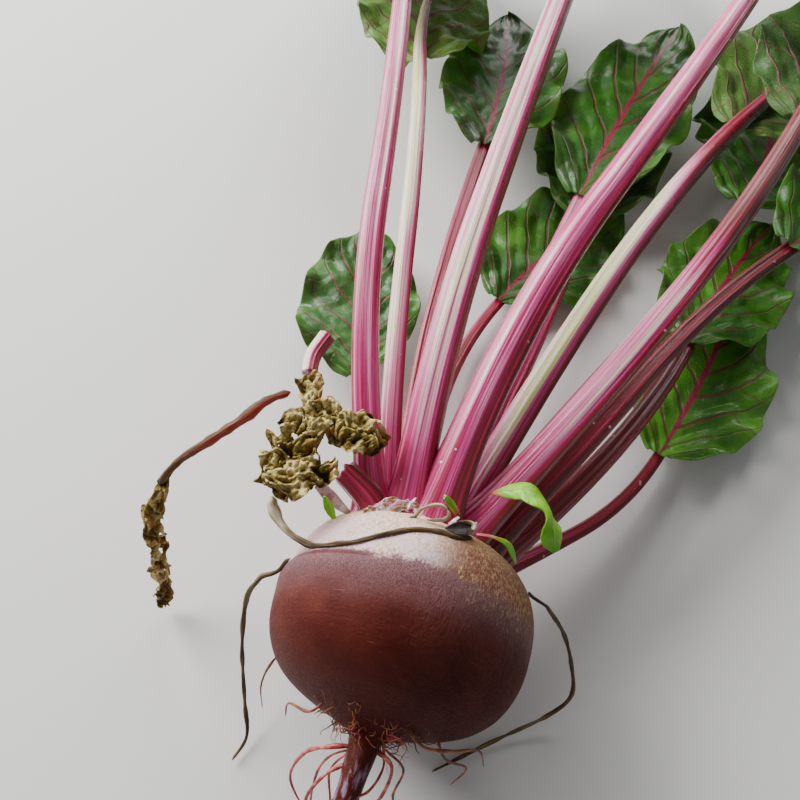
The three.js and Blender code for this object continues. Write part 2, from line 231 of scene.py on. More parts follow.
def grid(frames, across, place, tones, uv_of=lambda u, v: (u, v)):
    """A bmesh grid with a row for each frame of a line. Its corners (u, v), each from 0 to 1, go
    where place(spot, u, v) says, and spot is the frame of their row. tones(u, v) gives the tone
    kept at each corner, and uv_of(u, v) its place on the piece's own UV map."""
    rows = len(frames) - 1
    bm = bmesh.new()
    uv = bm.loops.layers.uv.new("UVMap")
    tone = bm.verts.layers.float.new("tone")
    bmesh.ops.create_grid(bm, x_segments=across, y_segments=rows, size=1)
    for face in bm.faces:
        for loop in face.loops:
            corner = loop.vert.co
            loop[uv].uv = uv_of((corner.x + 1) / 2, (corner.y + 1) / 2)
    for vert in bm.verts:
        u, v = (vert.co.x + 1) / 2, (vert.co.y + 1) / 2
        vert[tone] = tones(u, v)
        vert.co = place(frames[round(v * rows)], u, v) * MM
    return bm


def close_tube(bm):
    """Joins the two long edges of a rolled grid, and closes its ends."""
    bmesh.ops.remove_doubles(bm, verts=bm.verts, dist=0.002 * MM)
    rims = [edge for edge in bm.edges if edge.is_boundary]
    bmesh.ops.holes_fill(bm, edges=rims, sides=0)
    bmesh.ops.recalc_face_normals(bm, faces=bm.faces)


def frames_along(line, rows, roll=lambda share: 0, start=0, end=None):
    """The line's frames at even rows from start to end, or to the end of the line."""
    stop = end or line.length
    return [line.frame(between(start, stop, i / rows), roll(i / rows)) for i in range(rows + 1)]


def round_point(spot, turn, half, half_height=None):
    """A point of a round or oval section, turned from the right towards the top."""
    at, right, up = spot
    if half_height is None:
        half_height = half
    return at + right * (cos(turn) * half) + up * (sin(turn) * half_height)


def seed_of(name):
    return sum(map(ord, name)) % 50


def wander(place, scale, seed):
    """Smooth noise from -1 to 1, over features about as large as the scale."""
    return noise.noise(place / scale + Vector((17.3 * seed, 5.1 * seed, -9.7 * seed)))


# ---- Finishes ----
class Value:
    """What a node gives out. Arithmetic on it adds Math nodes."""

    def __init__(self, finish, socket):
        self.finish = finish
        self.socket = socket

    def __add__(self, other):
        return self.finish.math("ADD", self, other)

    def __sub__(self, other):
        return self.finish.math("SUBTRACT", self, other)

    def __mul__(self, other):
        return self.finish.math("MULTIPLY", self, other)

    def __abs__(self):
        return self.finish.math("ABSOLUTE", self)


class Finish:
    """A material whose colour, roughness and bump are worked out by nodes. What is the same all
    over is set on the shader's own sockets: how much it shines, the weight and roughness of its
    coat, the weight and depth of the light in its flesh, and any others by their names."""

    def __init__(self, name, shine, coat=(0, 0.03), flesh=(0, 0.05), **others):
        self.material = bpy.data.materials.new(name)
        self.material.use_nodes = True
        self.tree = self.material.node_tree
        self.shader = self.tree.nodes["Principled BSDF"]
        others |= {"Specular IOR Level": shine, "Coat Weight": coat[0], "Coat Roughness": coat[1],
                   "Subsurface Weight": flesh[0], "Subsurface Scale": flesh[1]}
        for socket, value in others.items():
            self.shader.inputs[socket.replace("_", " ")].default_value = value

    def node(self, kind, output=0, inputs=(), **settings):
        made = self.tree.nodes.new(kind)
        for name, value in settings.items():
            setattr(made, name, value)
        for key, value in dict(inputs).items():
            self.join(value, made.inputs[key])
        return Value(self, made.outputs[output])

    def join(self, value, socket):
        if isinstance(value, Value):
            self.tree.links.new(value.socket, socket)
        else:
            socket.default_value = value

    def place(self):
        return self.node("ShaderNodeTexCoord", "Object")

    def uv(self):
        return self.node("ShaderNodeTexCoord", "UV")

    def tone(self):
        return self.node("ShaderNodeAttribute", "Fac", attribute_name="tone")

    def split(self, vector):
        parts = self.node("ShaderNodeSeparateXYZ", inputs={0: vector}).socket.node.outputs
        return [Value(self, part) for part in parts]

    def grain(self, vector, scale, detail=3, rough=0.55):
        made = {"Vector": vector, "Scale": scale, "Detail": detail, "Roughness": rough}
        return self.node("ShaderNodeTexNoise", "Fac", made)

    def streaks(self, vector, squeeze, detail=3, rough=0.55):
        """Grain squeezed by an amount for each direction, so the smallest is along the streaks."""
        return self.grain(self.node("ShaderNodeMapping", inputs={0: vector, 3: squeeze}), 1, detail, rough)

    def cells(self, vector, scale, feature="DISTANCE_TO_EDGE"):
        made = {"Vector": vector, "Scale": scale}
        return self.node("ShaderNodeTexVoronoi", "Distance", made, feature=feature)

    def math(self, operation, a, b=0.0):
        return self.node("ShaderNodeMath", 0, {0: a, 1: b}, operation=operation)

    def spread(self, value, low, high, to_low=0.0, to_high=1.0):
        """The value, eased from one range to another and held at its ends."""
        made = {0: value, 1: low, 2: high, 3: to_low, 4: to_high}
        return self.node("ShaderNodeMapRange", 0, made, interpolation_type="SMOOTHSTEP")

    def mix(self, share, a, b):
        a, b = [color if isinstance(color, Value) else (*color, 1) for color in (a, b)]
        return self.node("ShaderNodeMix", 2, {0: share, 6: a, 7: b}, data_type="RGBA")

    def ramp(self, value, stops):
        made = self.node("ShaderNodeValToRGB", inputs={0: value})
        elements = made.socket.node.color_ramp.elements
        while len(elements) < len(stops):
            elements.new(0.5)
        for element, (position, color) in zip(elements, stops):
            element.position = position
            element.color = (*color, 1)
        return made

    def dull(self, grain, low, high):
        """Roughness between the two given, wherever the grain is between dark and light."""
        return self.spread(grain, 0.3, 0.7, low, high)

    def done(self, color, roughness, height=None, depth=0.2):
        """Sets the colour, the roughness and a bump of the depth given in millimetres."""
        self.join(color, self.shader.inputs["Base Color"])
        self.join(roughness, self.shader.inputs["Roughness"])
        if height:
            bump = self.node("ShaderNodeBump", "Normal", {"Height": height, "Distance": depth * MM})
            self.join(bump, self.shader.inputs["Normal"])
        return self.material


root_centre = Vector((0, 0, ROOT_RADIUS - REST_DEPTH))
root_axis = Vector((0, cos(NOD), -sin(NOD)))
disc_up = Vector((0, sin(NOD), cos(NOD)))


def from_axis(turn):
    """The direction out of the root's axis, turned from the top towards the right."""
    return disc_up * cos(turn) + Vector((sin(turn), 0, 0))


def root_skin():
    """Maroon skin with fine rings, a pale dry cap, and tan cork over the right shoulder."""
    f = Finish("root_skin", 0.12, flesh=(0.02, 0.003), Sheen_Weight=0.02, Sheen_Roughness=0.35,
               Sheen_Tint=(0.9, 0.45, 0.3, 1))
    local = f.node("ShaderNodeMapping", vector_type="TEXTURE", inputs={
        0: f.place(), 1: root_centre * MM, 2: (-NOD, 0, 0), 3: (MM, MM, MM)})
    x, along, z = f.split(local)
    fine = f.grain(local, 1.3, 4, 0.7)
    broad = f.grain(local, 0.07, 4)
    rings = f.streaks(local, (0.06, 1.6, 0.06), 4, 0.65)
    body = f.ramp(broad * 0.72 + rings * 0.28, [
        (0.34, (0.06, 0.006, 0.0035)), (0.5, (0.084, 0.0115, 0.007)), (0.66, (0.12, 0.021, 0.013))])
    dust = f.spread(f.grain(local, 0.5, 4, 0.75), 0.5, 0.72)
    body = f.mix(dust * 0.2, body, (0.15, 0.055, 0.03))
    edge = along - (x * EDGE_SLANT + EDGE)
    wavy = edge + (f.grain(local, 0.16, 4, 0.6) * 8 - 4)
    speckle = f.spread(f.grain(local, 2.6, 4, 0.7), 0.4, 0.62)
    # Painted highlight: a soft lavender grey satin sheen, speckled, on the band of skin below the cap.
    body = f.mix(f.spread(wavy, -15, 2) * (speckle * 0.5 + 0.2), body, (0.29, 0.18, 0.2))
    right = f.spread(x + (broad * 14 - 7), -2, 15)
    flecks = f.spread(f.streaks(local, (1.5, 0.45, 1.5), 4, 0.7), 0.4, 0.64)
    tan = f.mix(f.spread(f.grain(local, 2.4, 3, 0.6), 0.4, 0.6), (0.3, 0.15, 0.075), (0.54, 0.4, 0.19))
    cork_tan = f.mix(flecks * 0.85, (0.17, 0.05, 0.035), tan)
    cork_edge = wavy + f.spread(x, 0, 32, 0, 6) + (flecks * 9 - 7)
    cork = f.spread(cork_edge, -4, 8) * right
    body = f.mix(cork * 0.7, body, cork_tan)
    light = f.spread(fine, 0.36, 0.66)
    cap_left = f.mix(light, (0.5, 0.3, 0.25), (0.86, 0.72, 0.53))
    lavender = f.spread(f.grain(local, 0.2, 3) + along * -0.02, 0.36, 0.14, 0.65, 0)
    cap_left = f.mix(lavender, cap_left, (0.66, 0.53, 0.63))
    cap_left = f.mix(f.spread(x + broad * 10, -8, -26, 0, 0.5), cap_left, (0.5, 0.28, 0.27))
    weathered = f.spread(z + (f.grain(local, 0.12, 4, 0.65) * 40 - 20), 20, -4)
    cap_left = f.mix(weathered * 0.8, cap_left, f.mix(light, (0.26, 0.1, 0.06), (0.56, 0.36, 0.22)))
    cap_right = f.mix(f.spread(along, 14, 26), cork_tan, tan)
    cap = f.spread(wavy + (fine * 5 - 2.5), -0.5, 3)
    skin = f.mix(cap, body, f.mix(right, cap_left, cap_right))
    # Painted shade: a dark maroon line along the cap's edge on the left, in the crease under the string.
    crease_shade = f.spread(abs(edge), 1.4, 0.3) * f.spread(x, -6, -18)
    skin = f.mix(crease_shade * 0.85, skin, (0.09, 0.014, 0.02))
    scarred = f.streaks(local, (0.25, 1, 0.25), 4, 0.7)
    crown = f.ramp(scarred, [(0.34, (0.1, 0.03, 0.018)), (0.48, (0.3, 0.14, 0.08)),
                             (0.6, (0.42, 0.18, 0.16)), (0.72, (0.62, 0.48, 0.34))])
    skin = f.mix(f.spread(along + scarred * 3, 26, 28), skin, crown)
    # Painted shade: darker towards the neck and the tail, on the front of the root that faces away from the
    # light.
    skin = f.mix(f.spread(along, -34, -4, 0.4, 1), (0.062, 0.006, 0.003), skin)
    # Painted highlight: lavender streaks of shine along the tail.
    tail_shine = f.spread(f.streaks(local, (0.55, 0.09, 0.55), 3, 0.6), 0.47, 0.62)
    skin = f.mix(tail_shine * f.spread(along, -36, -44, 0, 0.55), skin, (0.42, 0.3, 0.42))
    dashes = f.spread(f.streaks(local, (0.16, 2.6, 0.16), 2, 0.5), 0.71, 0.76)
    skin = f.mix(dashes * 0.4, skin, (0.42, 0.13, 0.05))
    height = fine * 0.6 + rings * 0.28 + flecks * right * 0.7
    roughness = f.dull(fine, 0.46, 0.7) * f.spread(along, -42, -30, 0.5, 1)
    return f.done(skin, roughness, height, 0.35)


def stalk_skin():
    """Waxy stripes along the stalk, from cream through pink and magenta to brick red."""
    f = Finish("stalk_skin", 0.45, (0.35, 0.2), (0.05, 0.002), Subsurface_Radius=(1, 0.3, 0.3))
    stripes = f.streaks(f.uv(), (5.5, 0.045, 1), 3, 0.6)
    threads = f.streaks(f.uv(), (24, 0.2, 1), 2, 0.6)
    patches = f.streaks(f.uv(), (0.9, 0.3, 1))
    depth = f.tone() + (stripes - 0.5) * 1.35 + (threads - 0.5) * 0.4 + (patches - 0.5) * 0.3
    color = f.ramp(depth, [
        (0, (0.58, 0.62, 0.22)), (0.1, (0.84, 0.74, 0.58)), (0.23, (0.74, 0.26, 0.4)),
        (0.4, (0.56, 0.035, 0.2)), (0.56, (0.36, 0.01, 0.05)), (0.74, (0.2, 0.006, 0.012)),
        (1, (0.06, 0.004, 0.005))])
    dots = f.spread(f.cells(f.place(), 260, "F1"), 0.16, 0.1)
    rare = f.spread(f.grain(f.place(), 90, 2), 0.62, 0.66)
    color = f.mix(dots * rare * 0.6, color, (0.8, 0.62, 0.66))
    return f.done(color, f.dull(patches, 0.24, 0.4), stripes * 0.8 + threads * 0.35, 0.8)


VEINS = 6  # side veins on each side of a blade
VEIN_RISE = 2.2  # how far a side vein climbs by the edge, in steps between veins


def off_line(f, order):
    """How far a point is from the nearest of a row of lines, in steps between them."""
    return abs(f.math("FRACT", order) - 0.5)


def vein_lines(f):
    """How strongly a point is on the midrib, on a side vein and in the fine net of veins, and how
    far out it is from the midrib."""
    across, along, _ = f.split(f.uv())
    out = abs(across - 0.5) * 2
    side = f.math("GREATER_THAN", across, 0.5) * 0.46
    sway = f.grain(f.place(), 45, 2) * 0.7 - 0.35
    order = along * VEINS + side + sway - out * VEIN_RISE
    ribs = f.spread(out * -0.075 + 0.085 - off_line(f, order), -0.03, 0.02)
    lean = f.grain(f.place(), 80, 2) * 0.8 + out * 3
    twigs = f.spread(off_line(f, order + lean), 0.05, 0.02) * f.spread(out, 0.3, 0.6, 0.2, 0.7)
    bend = f.node("ShaderNodeTexNoise", "Color", {"Vector": f.place(), "Scale": 260})
    bent = f.node("ShaderNodeMix", 1, {0: 0.02, 4: f.place(), 5: bend}, data_type="VECTOR")
    net = f.spread(f.cells(bent, 330), 0.1, 0.02)
    return f.spread(out, 0.07, 0.02), f.math("MAXIMUM", ribs, twigs * 0.6), net, out


def leaf_face():
    """The upper side of a blade: deep glossy green with dark red veins."""
    f = Finish("leaf_face", 0.4, (0.22, 0.3), (0.06, 0.002))
    midrib, ribs, net, out = vein_lines(f)
    mottle = f.grain(f.place(), 30, 4)
    color = f.ramp(mottle + f.tone(), [
        (0.25, (0.006, 0.045, 0.002)), (0.5, (0.024, 0.14, 0.004)), (0.8, (0.1, 0.36, 0.008))])
    color = f.mix(f.spread(out, 0.75, 1) * 0.3, color, (0.13, 0.38, 0.012))
    color = f.mix(net * 0.22, color, (0.12, 0.3, 0.03))
    color = f.mix(ribs * 0.8, color, (0.17, 0.04, 0.035))
    color = f.mix(midrib, color, (0.32, 0.02, 0.06))
    height = net * -0.3 + ribs * -0.8 + f.grain(f.place(), 500, 3) * 0.4
    return f.done(color, f.dull(mottle, 0.34, 0.5), height, 0.5)


def leaf_back():
    """The under side of a blade: paler and duller, with raised veins."""
    f = Finish("leaf_back", 0.35, (0.08, 0.45), (0.06, 0.002))
    midrib, ribs, net, _ = vein_lines(f)
    mottle = f.grain(f.place(), 30, 4)
    color = f.ramp(mottle + f.tone(), [
        (0.25, (0.04, 0.12, 0.02)), (0.5, (0.09, 0.23, 0.035)), (0.8, (0.2, 0.42, 0.06))])
    color = f.mix(net * 0.5, color, (0.26, 0.42, 0.16))
    color = f.mix(ribs * 0.85, color, (0.4, 0.12, 0.14))
    color = f.mix(midrib, color, (0.5, 0.06, 0.14))
    return f.done(color, f.dull(mottle, 0.42, 0.58), net * 0.6 + ribs, 0.6)


def young_green():
    """The tender lime green of a leaf that has just opened, pink at its foot."""
    f = Finish("young_green", 0.35, (0.12, 0.3), (0.15, 0.002), Subsurface_Radius=(0.5, 1, 0.2))
    across, along, _ = f.split(f.uv())
    out = abs(across - 0.5) * 2
    mottle = f.grain(f.place(), 220, 3)
    color = f.ramp(mottle, [(0.3, (0.1, 0.36, 0.002)), (0.7, (0.24, 0.56, 0.006))])
    side_veins = f.spread(off_line(f, along * 9 - out * 1.6), 0.08, 0.02, 0, 0.6)
    veins = f.math("MAXIMUM", side_veins, f.spread(out, 0.12, 0.03))
    color = f.mix(veins * 0.45, color, (0.42, 0.66, 0.05))
    color = f.mix(f.spread(f.tone(), 0, 1), color, (0.5, 0.05, 0.07))
    return f.done(color, f.dull(mottle, 0.36, 0.5), mottle + veins, 0.4)


def withered_tissue():
    """Dry leaf tissue: tan and olive, with brown edges, and painted light: paler on the crests of its folds
    and darker in the hollows.
    """
    f = Finish("withered_tissue", 0.3, flesh=(0.05, 0.002))
    fine = f.grain(f.place(), 700, 4, 0.7)
    blend = f.grain(f.place(), 130, 4, 0.6) * 0.65 + fine * 0.35
    # Painted light: the tone is how deep each point lies in its folds, so crests come out paler and hollows
    # darker.
    color = f.ramp(blend - f.tone() * 0.12, [
        (0.3, (0.025, 0.015, 0.004)), (0.44, (0.11, 0.072, 0.012)), (0.55, (0.28, 0.2, 0.04)),
        (0.69, (0.6, 0.5, 0.22))])
    rust = f.spread(f.grain(f.place(), 210, 3), 0.56, 0.66)
    color = f.mix(rust * 0.5, color, (0.34, 0.14, 0.02))
    return f.done(color, f.dull(fine, 0.6, 0.85), blend + f.cells(f.place(), 520) * 1.2, 1)


def dry_fibre():
    """Dry brown string, with pale and dark fibres along it."""
    f = Finish("dry_fibre", 0.35)
    fibres = f.streaks(f.uv(), (9, 0.7, 1), 3, 0.65)
    patches = f.streaks(f.uv(), (0.6, 0.8, 1))
    color = f.ramp(fibres * 0.6 + patches * 0.4, [
        (0.34, (0.014, 0.007, 0.003)), (0.48, (0.06, 0.03, 0.009)), (0.6, (0.2, 0.115, 0.03)),
        (0.72, (0.46, 0.32, 0.1))])
    light = f.spread(fibres, 0.35, 0.65)
    bleached = f.mix(light, (0.36, 0.26, 0.12), (0.78, 0.68, 0.46))
    rusty = f.mix(light, (0.16, 0.014, 0.008), (0.42, 0.07, 0.03))
    color = f.mix(f.spread(f.tone(), 0, -1), color, bleached)
    color = f.mix(f.spread(f.tone(), 0, 1), color, rusty)
    return f.done(color, f.dull(fibres, 0.45, 0.75), fibres, 0.5)


def mottled(name, grain, stops, roughness, depth, coat=(0, 0.03), flesh=(0, 0.05), ends=()):
    """A finish with one grain for its colour, its roughness and its bump. ends are the colours
    that it takes where the tone rises to 1 and where it falls to -1."""
    f = Finish(name, 0.5, coat, flesh)
    mottle = f.grain(f.place(), *grain)
    color = f.ramp(mottle, stops)
    for end, end_color in zip((1, -1), ends):
        color = f.mix(f.spread(f.tone(), 0, end), color, end_color)
    return f.done(color, f.dull(mottle, *roughness), depth and mottle, depth)


def rootlet_skin(name, *colors):
    """Thin side roots, paler where their skin has worn."""
    stops = list(zip((0.36, 0.5, 0.64), colors))
    return mottled(name, (330, 4, 0.65), stops, (0.35, 0.55), 0.2, flesh=(0.1, 0.001))


ROOT_SKIN = root_skin()
STALK_SKIN = stalk_skin()
LEAF_FACE = leaf_face()
LEAF_BACK = leaf_back()
YOUNG_GREEN = young_green()
WITHERED_TISSUE = withered_tissue()
DRY_FIBRE = dry_fibre()
PINK_ROOTLET = rootlet_skin("pink_rootlet", (0.2, 0.02, 0.02), (0.5, 0.07, 0.06), (0.7, 0.24, 0.17))
BROWN_ROOTLET = rootlet_skin("brown_rootlet", (0.05, 0.012, 0.005), (0.2, 0.045, 0.01), (0.46, 0.15, 0.03))
# Torn white tissue at the crown: lavender white, magenta at its foot and brown at its tip.
PALE_TISSUE = mottled(
    "pale_tissue", (400, 4, 0.7),
    [(0.34, (0.46, 0.16, 0.28)), (0.48, (0.7, 0.5, 0.56)), (0.64, (0.84, 0.78, 0.68))], (0.35, 0.55), 0.3,
    (0.3, 0.3), (0.2, 0.002), ends=((0.5, 0.05, 0.16), (0.24, 0.13, 0.05)))
# Painted shadow: black, damp-looking tissue that stands for the shade in the hollow inside the string's
# eyelet.
PAINTED_SHADOW = mottled("rotten", (900, 4, 0.7), [(0.4, (0.004, 0.002, 0.002)), (0.7, (0.03, 0.014, 0.012))],
                 (0.25, 0.6), 0.5)
# Painted highlight: small glossy beads, white with a little lavender, for the glints of water drops.
PAINTED_GLINT = mottled("painted_glint", (900, 2), [(0.3, (0.78, 0.62, 0.74)), (0.7, (0.9, 0.86, 0.86))],
                     (0.15, 0.3), 0, (0.5, 0.03), (0.2, 0.001))


# ---- The root and its tail ----
def root_outline():
    """Radius and distance along the axis, from the middle of the crown to the neck."""
    neck = Vector((NECK_RADIUS, -NECK, 0))
    waist = Vector((ROOT_RADIUS, -3, 0))
    brow = Vector((20, 26, 0))
    belly = interpolate_bezier(neck, Vector((9, -27, 0)), Vector((ROOT_RADIUS - 1, -30, 0)), waist, 36)
    shoulder = interpolate_bezier(waist, Vector((ROOT_RADIUS + 1, 15, 0)), Vector((31, 24, 0)), brow, 30)
    crown = interpolate_bezier(brow, Vector((14, 27.4, 0)), Vector((7, CROWN, 0)), Vector((0, CROWN, 0)), 12)
    return (belly[:-1] + shoulder[:-1] + crown)[::-1]


def root_piece():
    bm = bmesh.new()
    outline = [bm.verts.new(point) for point in root_outline()]
    edges = [bm.edges.new(pair) for pair in zip(outline, outline[1:])]
    bmesh.ops.spin(bm, geom=outline + edges, axis=(0, 1, 0), cent=(0, 0, 0), dvec=(0, 0, 0),
                   angle=tau, steps=120, use_merge=True)
    bmesh.ops.remove_doubles(bm, verts=bm.verts, dist=0.01)
    turned = Matrix.Translation(root_centre) @ Matrix.Rotation(-NOD, 4, "X")
    bmesh.ops.transform(bm, matrix=turned, verts=bm.verts)
    grow_tail(bm)
    bmesh.ops.recalc_face_normals(bm, faces=bm.faces)
    bm.normal_update()
    moves = [(vert, vert.co + vert.normal * skin_relief(vert.co)) for vert in bm.verts]
    for vert, place in moves:
        place.z = max(place.z, 0)
        vert.co = place * MM
    finished(bm, "root_skin_piece", [ROOT_SKIN], "root", levels=1)


def grow_tail(bm):
    """Carries the open ring of the neck on along the tail to a point."""
    stations = [0, TAIL_LENGTH * 0.3, TAIL_LENGTH * 0.65, TAIL_LENGTH]
    start = root_centre + root_axis * (3 - NECK)
    line = grown_line(start, stations, (180, 184, 194, 172), (2, -10, -26, -34), 1)
    ring = [edge for edge in bm.edges if edge.is_boundary]
    rows = 56
    here = 3.0
    for i in range(1, rows + 1):
        there = between(3, TAIL_LENGTH, i / rows)
        made = bmesh.ops.extrude_edge_only(bm, edges=ring)["geom"]
        ring = [part for part in made if isinstance(part, bmesh.types.BMEdge)]
        verts = [part for part in made if isinstance(part, bmesh.types.BMVert)]
        shrink = tail_radius(there) / tail_radius(here)
        middle = sum((vert.co for vert in verts), Vector()) / len(verts)
        knobs = 1 + 0.03 * wander(line.point(there), 5, 3)
        turn = (line.point(here) - line.point(here - 1)).rotation_difference(
            line.point(there) - line.point(there - 1)).to_matrix().to_4x4()
        move = Matrix.Translation(line.point(there)) @ turn @ Matrix.Scale(shrink * knobs, 4)
        bmesh.ops.transform(bm, matrix=move @ Matrix.Translation(-middle), verts=verts)
        here = there
    bmesh.ops.pointmerge(bm, verts=verts, merge_co=line.point(TAIL_LENGTH))


def tail_radius(s):
    return NECK_RADIUS * (1 - s / TAIL_LENGTH) ** 2 + TAIL_END_RADIUS


def skin_relief(place):
    """How far the skin stands out of the even outline: a lopsided swell, fine rings round the
    root, dents on the crown, and the shoulder that stands proud of the dry cap on the left."""
    local = place - root_centre
    along = local.dot(root_axis)
    if along < -NECK:
        return 0.3 * wander(place, 3, 5) * smooth(-NECK, -NECK - 8, along)
    swell = 0.6 * wander(place, 40, 1) + 0.25 * wander(place, 14, 2)
    rings = 0.08 * noise.noise(Vector((local.x * 0.04, along * 0.8, local.z * 0.04)))
    edge = along - EDGE - EDGE_SLANT * local.x
    left = smooth(6, -22, local.x)
    shoulder = 0.5 * left * exp(-(((edge + 3) / 3) ** 2))
    cap = -1.1 * left * smooth(-1.4, 1.2, edge) * smooth(17, 3, edge)
    crown = smooth(24, 27, along) * (1.1 * wander(place, 5, 4) + 0.5 * wander(place, 1.8, 6))
    return swell + rings + shoulder + cap + crown


OUTLINE = root_outline()


def root_radius(along):
    """How far the even outline stands from the root's axis."""
    for near, far in zip(OUTLINE, OUTLINE[1:]):
        if far.y <= along <= near.y:
            return between(near.x, far.x, (near.y - along) / max(near.y - far.y, 0.001))
    return 0


def eased_on_root(place, clearance):
    """The place itself, or if it is near the root's skin, the place just clear of it."""
    from_centre = place - root_centre
    along = from_centre.dot(root_axis)
    outward = (from_centre - root_axis * along).normalized()
    skin = root_centre + root_axis * along + outward * root_radius(along)
    skin += outward * (skin_relief(skin) + clearance)
    return place.lerp(skin, smooth(4.5, 2.5, (place - skin).length))


root_piece()


# ---- Stalks and blades ----
def crown_point(seat, depth):
    return root_centre + root_axis * (CROWN - depth) + disc_up * seat[1] + Vector((seat[0], 0, 0))


def leaf_line(leaf):
    length = leaf.stalk[0]
    stations = [0, length / 2, length, length + leaf.blade[0]]
    return grown_line(crown_point(leaf.seat, 4), stations, leaf.heading, leaf.slope, RIB_FLOOR)


def stalk_width(leaf, s):
    length, at_crown, at_blade = leaf.stalk
    if s > length:
        return between(at_blade, RIB_END, (s - length) / leaf.blade[0])
    return between(at_crown, at_blade, s / length) + 0.22 * at_crown * exp(-s / 12)


def stalk_piece(number, leaf):
    line = leaf_line(leaf)
    length = line.length * RIB_REACH
    groove_side = -1 if leaf.back else 1
    girth = pi * sum(leaf.stalk[1:]) / 20

    def section(turn):
        """How far out the stalk stands: ribs all round, and a channel on its inner side."""
        ribs = 0.12 * abs(cos(2.5 * turn + number)) + 0.08 * abs(cos(4.5 * turn + 2 * number))
        from_groove = (turn - groove_side * pi / 2 + pi) % tau - pi
        return 0.93 + ribs - 0.3 * exp(-((from_groove / 0.45) ** 2))

    def place(spot, u, v):
        turn = tau * u - pi / 2
        s = v * length
        half = stalk_width(leaf, s) / 2 * (1 + 0.03 * wander(spot[0], 26, number)) * section(turn)
        foot = 1 + 0.55 * exp(-s / 6)
        return round_point(spot, turn, half * foot, half * STALK_HEIGHT * sqrt(foot))

    def tones(u, v):
        """As flushed as the leaf says on its left and right, partly painted light, and magenta towards its
        foot.
        """
        turn = tau * u - pi / 2
        # Painted light in part: pale on the lit left, deeper red on the shaded right.
        shade = between(*leaf.flush, smooth(-0.2, 0.75, cos(turn) - 0.25 * sin(turn)))
        s = v * length
        deeper, start = leaf.dark_top
        shade += deeper * smooth(start, start + 0.16, v)
        near_foot = exp(-((s / 42) ** 2))
        return between(shade, max(0.5, shade), near_foot) - 0.3 * exp(-((s / 4) ** 2))

    frames = frames_along(line, 130, end=length)
    bm = grid(frames, 40, place, tones, lambda u, v: (u * girth + 7 * number, v * length / 10))
    close_tube(bm)
    name = f"leaf_{number:02d}_stalk"
    finished(bm, f"{name}_piece", [STALK_SKIN], name, levels=1)


def blade_half(leaf, u):
    """Half the breadth of a blade at a share of its length."""
    swell = sin(pi * min(1, 0.03 + 0.94 * u ** 0.85)) ** 0.8
    return 1.5 + (leaf.blade[1] / 2 - 1.5) * swell


def blade_piece(number, leaf):
    line = leaf_line(leaf)
    stalk_length, blade_length = leaf.stalk[0], leaf.blade[0]
    frames = frames_along(line, 72, lambda v: leaf.roll * min(1, 3 * v), stalk_length)
    side = -1 if leaf.back else 1

    def place(spot, u, v):
        at, right, up = spot
        across = 2 * u - 1
        out = abs(across)
        edge = copysign(1, across)
        margin = Vector((edge * 3, v * blade_length / 11, 0))
        lobes = 1 + 0.13 * wander(margin, 1, number) + 0.02 * wander(margin, 0.35, number)
        tip = sqrt(max(0.0004, 1 - max(0, (v - 0.88) / 0.12) ** 2))
        half = blade_half(leaf, v) * between(1, lobes, out ** 2) * tip
        rise = STALK_HEIGHT / 2 * stalk_width(leaf, stalk_length + v * blade_length) + GAP + 0.45
        ruffle = 2.2 * across ** 2 * sin(4 * pi * v + across)
        wave = 26 * v + 2.4 * edge + number + 2.5 * wander(Vector((edge, 4 * v, 0)), 1, number + 20)
        frill = 3.4 * out ** 3 * sin(wave) * smooth(0, 0.15, v) * smooth(1.02, 0.88, v)
        order = v * VEINS - out * VEIN_RISE + (0.46 if across > 0 else 0)
        pillow = 4 * (0.25 - (order % 1 - 0.5) ** 2) * smooth(0.05, 0.4, out) * (1 - 0.5 * out)
        flat = Vector((across * half, v * blade_length, 0))
        crinkle = 1.5 * wander(flat, 8, number) + 0.7 * wander(flat, 3.5, number + 9)
        moved = at + right * (across * half)
        lift = ruffle + frill + 1.4 * pillow + crinkle * smooth(0, 0.3, out)
        moved += up * (side * rise + leaf.cup * half * across ** 2 + lift)
        moved.z = settle(moved.z, BLADE_FLOOR)
        return moved

    green = random.Random(number).uniform(-0.16, 0.2)
    bm = grid(frames, 40, place, lambda u, v: green)
    sides = [LEAF_BACK, LEAF_FACE] if leaf.back else [LEAF_FACE, LEAF_BACK]
    name = f"leaf_{number:02d}_blade"
    finished(bm, f"{name}_piece", sides, name, levels=1, thickness=0.45)


for i, leaf in enumerate(LEAVES):
    stalk_piece(i + 1, leaf)
    blade_piece(i + 1, leaf)


# ---- Strings, side roots and broken stalks ----
def string_piece(name, finish, slot, places, widths, tones=(0, 0), node=None, strands=0.0, pitch=11,
                 left_only=False):
    """A thin round piece along listed points, with its widths and tones given at even
    stations. strands is how deep the groove between its two twisted strands is, and pitch how
    long one turn of them is. left_only keeps the tones to the left of the line."""
    line = placed_line(places)
    if strands:
        line.points = [eased_on_root(point, widths[0] * 0.5) for point in line.points]
    frames = frames_along(line, ceil(line.length / 0.7))
    seed = seed_of(name)

    def place(spot, u, v):
        turn = tau * u
        s = v * line.length
        half = evenly(widths, v) / 2
        half *= 1 + 0.3 * wander(Vector((s, 0, 0)), 3.5, seed)
        half *= 1 + strands * cos(2 * turn + tau * s / pitch)
        half *= 1 + 0.1 * wander(Vector((cos(turn), sin(turn), s / 2)), 0.7, seed)
        half *= min(1, (min(s, line.length - s) + 0.15) / 1.6) ** 0.6
        return round_point(spot, turn, half)

    def tone(u, v):
        lit = smooth(0.3, -0.3, cos(tau * u)) if left_only else 1
        return evenly(tones, v) * lit

    girth = pi * max(widths) / 10
    bm = grid(frames, 14, place, tone, lambda u, v: (u * girth, v * line.length / 10))
    close_tube(bm)
    finished(bm, f"{name}_piece", [finish], node)


